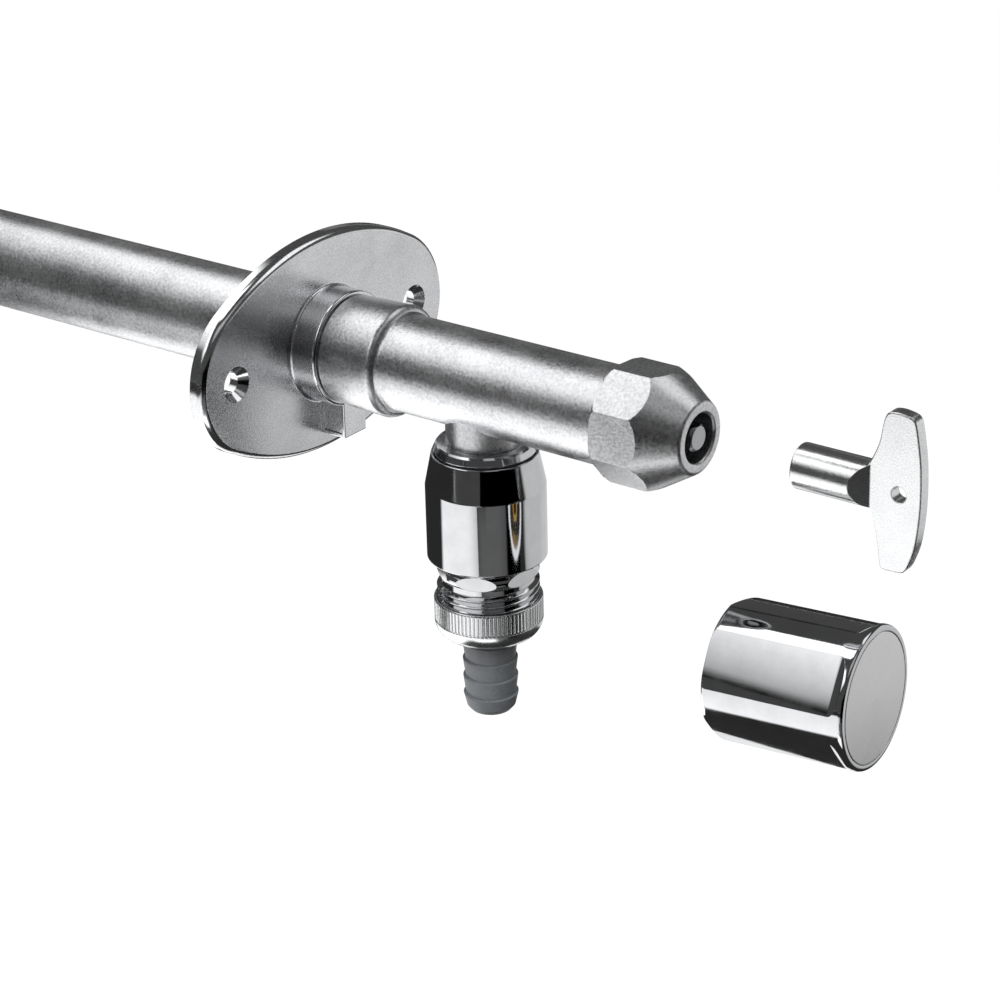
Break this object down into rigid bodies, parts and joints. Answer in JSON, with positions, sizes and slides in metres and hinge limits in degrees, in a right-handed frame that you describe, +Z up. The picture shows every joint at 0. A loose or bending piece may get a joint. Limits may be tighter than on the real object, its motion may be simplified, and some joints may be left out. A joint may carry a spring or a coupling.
{
  "type": "frost free sillcock",
  "caption": "Frost free wall sillcock with an oval flange, long barrel, octagonal bonnet nut, square stem, loose socket key and knob, and a screwed hose tail outlet.",
  "frame": {"origin": "on the tap axis in the wall plane, at the middle of the flange's back face and of its two screw holes", "axes": "+Y into the wall along the barrel, -Y out toward the nose, +Z up, outlet along -Z, +X to the right as the nose is faced from behind"},
  "size_m": [0.0962, 0.3543, 0.1195],
  "materials": {
    "satin_chrome": "fine-grained satin chrome plate",
    "polished_chrome": "mirror-polished chrome plate",
    "satin_disc": "blasted satin disc",
    "brass": "turned brass",
    "stem_steel": "turned stainless steel",
    "rubber": "black sealing rubber",
    "white_plastic": "moulded acetal",
    "dark_plastic": "dark grey moulded plastic"
  },
  "bodies": {
    "fixed": {"wall_flange": "satin_chrome", "flange_set_screw": "stem_steel", "barrel_tube": "satin_chrome", "valve_body": "satin_chrome", "seat_body": "brass", "bonnet_nut": "satin_chrome", "bonnet_o_ring": "rubber", "stem_bush": "brass", "stem_packing": "rubber", "stem_guide": "white_plastic", "breaker_ring": "polished_chrome", "breaker_body": "dark_plastic", "spigot_gasket": "rubber", "outlet_shroud": "polished_chrome", "check_spring": "stem_steel", "outlet_adapter": "polished_chrome"},
    "head": {"valve_head": "brass", "seat_washer": "rubber", "washer_screw": "brass", "swivel_pin": "stem_steel"},
    "stem": {"stem": "stem_steel"},
    "key": {"socket_key": "satin_chrome"},
    "knob": {"knob_shell": "polished_chrome", "knob_insert": "brass", "knob_cap": "satin_disc"},
    "poppet": {"check_poppet": "white_plastic", "poppet_ring": "rubber"},
    "tail": {"hose_tail": "dark_plastic", "hose_gasket": "rubber"},
    "union": {"union_nut": "polished_chrome"}
  },
  "joints": [
    {"name": "head_slide", "type": "slide", "parent": "fixed", "child": "head", "axis": [0, -1, 0], "range_m": [0, 0.004]},
    {"name": "stem_turn", "type": "hinge", "parent": "head", "child": "stem", "pos_m": [0, 0, 0], "axis": [0, -1, 0], "range_deg": [0, 720]},
    {"name": "key_push", "type": "slide", "parent": "stem", "child": "key", "axis": [0, 1, 0], "range_m": [0, 0.0383]},
    {"name": "knob_turn", "type": "hinge", "parent": "fixed", "child": "knob", "pos_m": [0, -0.1691, -0.0546], "axis": [0.0819, -0.9961, 0.0314], "range_deg": [0, 720]},
    {"name": "poppet_slide", "type": "slide", "parent": "fixed", "child": "poppet", "axis": [0, 0, -1], "range_m": [0, 0.004], "stiffness_N_per_m": 60, "springref_m": -0.003, "deforming": ["check_spring"]},
    {"name": "tail_drop", "type": "slide", "parent": "fixed", "child": "tail", "axis": [0, 0, -1], "range_m": [0, 0.0037]},
    {"name": "nut_turn", "type": "hinge", "parent": "tail", "child": "union", "pos_m": [0, -0.0547, -0.065], "axis": [0, 0, -1], "range_deg": [0, 720]}
  ],
  "couplings": [
    {"joint": "head_slide", "follows": "knob_turn", "m_per_rad": 0.00031831},
    {"joint": "stem_turn", "follows": "knob_turn", "ratio": 1},
    {"joint": "tail_drop", "follows": "nut_turn", "m_per_rad": 0.00028871}
  ]
}
